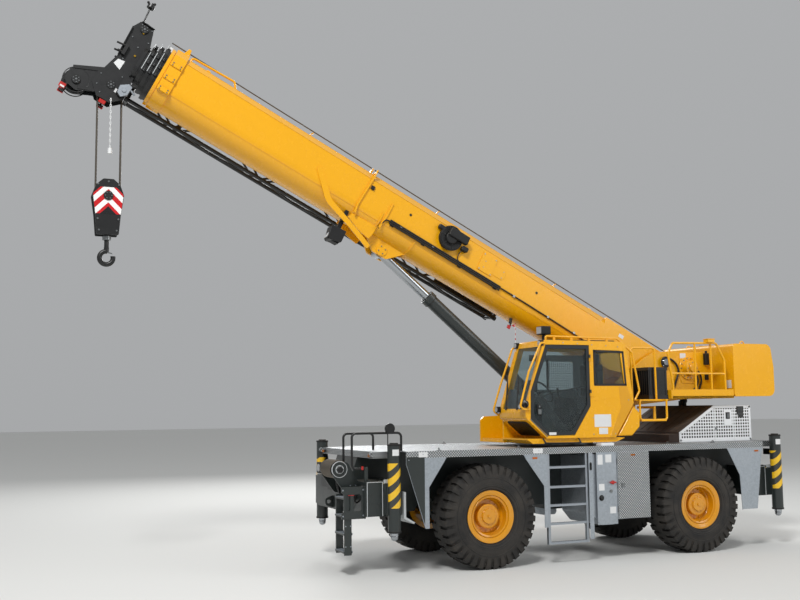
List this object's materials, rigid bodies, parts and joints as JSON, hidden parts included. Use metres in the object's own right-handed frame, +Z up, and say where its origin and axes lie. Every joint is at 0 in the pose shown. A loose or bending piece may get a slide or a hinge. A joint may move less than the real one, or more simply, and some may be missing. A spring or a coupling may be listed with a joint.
{
  "type": "rough-terrain mobile crane",
  "caption": "Four-wheel rough-terrain mobile crane with a side cab, telescoping boom, lift cylinder, hook block, folded lattice jib and sliding outriggers.",
  "frame": {"origin": "on the ground under the middle of the machine's overall length and width", "axes": "+X forward along the carrier towards the boom head, +Y to the cab side, +Z up"},
  "size_m": [11.7333, 2.62, 8.1972],
  "materials": {
    "bare_steel": "machined steel",
    "black_plastic": "moulded black plastic",
    "bright_steel": "hard chrome plate",
    "cast_engine": "painted casting",
    "dark_steel": "black enamel",
    "deck_paint": "grey enamel on folded sheet",
    "frame_paint": "semi-gloss dark grey machine enamel",
    "glass": "tinted safety glass",
    "tyre_rubber": "carbon-black moulded rubber",
    "white_sheet": "white enamel on perforated sheet",
    "wire_rope": "greased steel wire rope",
    "yellow_paint": "glossy yellow machine enamel"
  },
  "bodies": {
    "carrier": {"chassis_frame": "frame_paint", "deck": "deck_paint", "slew_ring": "bare_steel", "outrigger_boxes": "frame_paint", "skirt_plates": "deck_paint", "ladders": "bare_steel", "side_tanks": "deck_paint", "engine_hood": "white_sheet", "engine_block": "cast_engine", "drive_axles": "frame_paint", "front_frame": "frame_paint", "front_winch": "deck_paint", "front_rails": "dark_steel"},
    "knuckle_front_left": {"knuckle_front_left": "frame_paint"},
    "wheel_front_left": {"rim_front_left": "yellow_paint", "tyre_front_left": "tyre_rubber"},
    "knuckle_front_right": {"knuckle_front_right": "frame_paint"},
    "wheel_front_right": {"rim_front_right": "yellow_paint", "tyre_front_right": "tyre_rubber"},
    "knuckle_rear_left": {"knuckle_rear_left": "frame_paint"},
    "wheel_rear_left": {"rim_rear_left": "yellow_paint", "tyre_rear_left": "tyre_rubber"},
    "knuckle_rear_right": {"knuckle_rear_right": "frame_paint"},
    "wheel_rear_right": {"rim_rear_right": "yellow_paint", "tyre_rear_right": "tyre_rubber"},
    "outrigger_front_left": {"outrigger_beam_front_left": "frame_paint"},
    "jack_front_left": {"jack_rod_front_left": "bright_steel"},
    "outrigger_front_right": {"outrigger_beam_front_right": "frame_paint"},
    "jack_front_right": {"jack_rod_front_right": "bright_steel"},
    "outrigger_rear_left": {"outrigger_beam_rear_left": "frame_paint"},
    "jack_rear_left": {"jack_rod_rear_left": "bright_steel"},
    "outrigger_rear_right": {"outrigger_beam_rear_right": "frame_paint"},
    "jack_rear_right": {"jack_rod_rear_right": "bright_steel"},
    "superstructure": {"turret_frame": "yellow_paint", "counterweight": "yellow_paint", "hoist_winch": "yellow_paint", "walkways": "deck_paint", "handrails": "yellow_paint", "oil_cooler": "dark_steel", "cab_shell": "yellow_paint", "cab_interior": "black_plastic", "cab_guards": "dark_steel", "cab_glass": "glass"},
    "cab_door": {"door_frame": "yellow_paint", "door_glass": "glass"},
    "boom_foot_pin": {"boom_foot_pin": "bare_steel"},
    "boom_base": {"boom_base": "yellow_paint", "swing_jib": "dark_steel", "boom_fittings": "dark_steel"},
    "boom_section_2": {"boom_section_2": "yellow_paint"},
    "boom_section_3": {"boom_section_3": "yellow_paint"},
    "boom_section_4": {"boom_section_4": "yellow_paint"},
    "boom_tip": {"boom_tip": "dark_steel", "head_sheaves": "dark_steel"},
    "lift_foot_pin": {"lift_foot_pin": "bare_steel"},
    "lift_barrel": {"lift_barrel": "dark_steel"},
    "lift_rod": {"lift_rod": "bright_steel"},
    "hook_block": {"hook_block": "dark_steel", "hoist_ropes": "wire_rope"},
    "hook": {"hook": "dark_steel"}
  },
  "joints": [
    {"name": "steer_front_left", "type": "hinge", "parent": "carrier", "child": "knuckle_front_left", "pos_m": [-0.12, 0.79, 0.75], "axis": [0, 0, 1], "range_deg": [-24, 24]},
    {"name": "steer_front_right", "type": "hinge", "parent": "carrier", "child": "knuckle_front_right", "pos_m": [-0.12, -0.79, 0.75], "axis": [0, 0, 1], "range_deg": [-24, 24]},
    {"name": "steer_rear_left", "type": "hinge", "parent": "carrier", "child": "knuckle_rear_left", "pos_m": [-3.91, 0.79, 0.75], "axis": [0, 0, 1], "range_deg": [-24, 24]},
    {"name": "steer_rear_right", "type": "hinge", "parent": "carrier", "child": "knuckle_rear_right", "pos_m": [-3.91, -0.79, 0.75], "axis": [0, 0, 1], "range_deg": [-24, 24]},
    {"name": "wheel_spin_front_left", "type": "hinge", "parent": "knuckle_front_left", "child": "wheel_front_left", "pos_m": [-0.12, 1.045, 0.75], "axis": [0, 1, 0], "continuous": true},
    {"name": "wheel_spin_front_right", "type": "hinge", "parent": "knuckle_front_right", "child": "wheel_front_right", "pos_m": [-0.12, -1.045, 0.75], "axis": [0, 1, 0], "continuous": true},
    {"name": "wheel_spin_rear_left", "type": "hinge", "parent": "knuckle_rear_left", "child": "wheel_rear_left", "pos_m": [-3.91, 1.045, 0.75], "axis": [0, 1, 0], "continuous": true},
    {"name": "wheel_spin_rear_right", "type": "hinge", "parent": "knuckle_rear_right", "child": "wheel_rear_right", "pos_m": [-3.91, -1.045, 0.75], "axis": [0, 1, 0], "continuous": true},
    {"name": "outrigger_slide_front_left", "type": "slide", "parent": "carrier", "child": "outrigger_front_left", "axis": [0, 1, 0], "range_m": [0, 1.7]},
    {"name": "jack_front_left", "type": "slide", "parent": "outrigger_front_left", "child": "jack_front_left", "axis": [0, 0, -1], "range_m": [0, 0.6]},
    {"name": "outrigger_slide_front_right", "type": "slide", "parent": "carrier", "child": "outrigger_front_right", "axis": [0, -1, 0], "range_m": [0, 1.7]},
    {"name": "jack_front_right", "type": "slide", "parent": "outrigger_front_right", "child": "jack_front_right", "axis": [0, 0, -1], "range_m": [0, 0.6]},
    {"name": "outrigger_slide_rear_left", "type": "slide", "parent": "carrier", "child": "outrigger_rear_left", "axis": [0, 1, 0], "range_m": [0, 1.7]},
    {"name": "jack_rear_left", "type": "slide", "parent": "outrigger_rear_left", "child": "jack_rear_left", "axis": [0, 0, -1], "range_m": [0, 0.6]},
    {"name": "outrigger_slide_rear_right", "type": "slide", "parent": "carrier", "child": "outrigger_rear_right", "axis": [0, -1, 0], "range_m": [0, 1.7]},
    {"name": "jack_rear_right", "type": "slide", "parent": "outrigger_rear_right", "child": "jack_rear_right", "axis": [0, 0, -1], "range_m": [0, 0.6]},
    {"name": "slew", "type": "hinge", "parent": "carrier", "child": "superstructure", "pos_m": [-1.99, 0, 1.775], "axis": [0, 0, 1], "continuous": true},
    {"name": "door_hinge", "type": "hinge", "parent": "superstructure", "child": "cab_door", "pos_m": [-1.917, 1.234, 2.6], "axis": [0, 0, 1], "range_deg": [0, 100]},
    {"name": "boom_lower", "type": "hinge", "parent": "superstructure", "child": "boom_foot_pin", "pos_m": [-3.97, 0, 3.06], "axis": [0, -1, 0], "range_deg": [-30, 0]},
    {"name": "boom_raise", "type": "hinge", "parent": "boom_foot_pin", "child": "boom_base", "pos_m": [-3.97, 0, 3.06], "axis": [0, -1, 0], "range_deg": [0, 51]},
    {"name": "extend_2", "type": "slide", "parent": "boom_base", "child": "boom_section_2", "axis": [0.891, 0, 0.454], "range_m": [0, 6.15]},
    {"name": "extend_3", "type": "slide", "parent": "boom_section_2", "child": "boom_section_3", "axis": [0.891, 0, 0.454], "range_m": [0, 6.15]},
    {"name": "extend_4", "type": "slide", "parent": "boom_section_3", "child": "boom_section_4", "axis": [0.891, 0, 0.454], "range_m": [0, 6.15]},
    {"name": "extend_5", "type": "slide", "parent": "boom_section_4", "child": "boom_tip", "axis": [0.891, 0, 0.454], "range_m": [0, 6.15]},
    {"name": "lift_foot_hinge", "type": "hinge", "parent": "superstructure", "child": "lift_foot_pin", "pos_m": [-2.17, 0, 2.01], "axis": [0, -1, 0], "range_deg": [-45, 0]},
    {"name": "lift_barrel_hinge", "type": "hinge", "parent": "lift_foot_pin", "child": "lift_barrel", "pos_m": [-2.17, 0, 2.01], "axis": [0, -1, 0], "range_deg": [0, 52]},
    {"name": "lift_rod_slide", "type": "slide", "parent": "lift_barrel", "child": "lift_rod", "axis": [0.764, 0, 0.6452], "range_m": [0, 1.85]},
    {"name": "hook_hang", "type": "hinge", "parent": "boom_tip", "child": "hook_block", "pos_m": [5.19129, 0, 6.90861], "axis": [0, 1, 0], "range_deg": [-30, 51]},
    {"name": "hook_swivel", "type": "hinge", "parent": "hook_block", "child": "hook", "pos_m": [5.19129, 0, 4.8], "axis": [0, 0, 1], "continuous": true}
  ],
  "couplings": [
    {"joint": "steer_front_right", "follows": "steer_front_left", "ratio": 1},
    {"joint": "steer_rear_right", "follows": "steer_rear_left", "ratio": 1},
    {"joint": "lift_foot_hinge", "follows": "boom_lower", "ratio": 1.4},
    {"joint": "lift_barrel_hinge", "follows": "boom_raise", "ratio": 0.967},
    {"joint": "lift_rod_slide", "follows": "boom_raise", "m_per_rad": 2.02},
    {"joint": "extend_3", "follows": "extend_2", "ratio": 1},
    {"joint": "extend_4", "follows": "extend_2", "ratio": 1},
    {"joint": "extend_5", "follows": "extend_2", "ratio": 1}
  ]
}
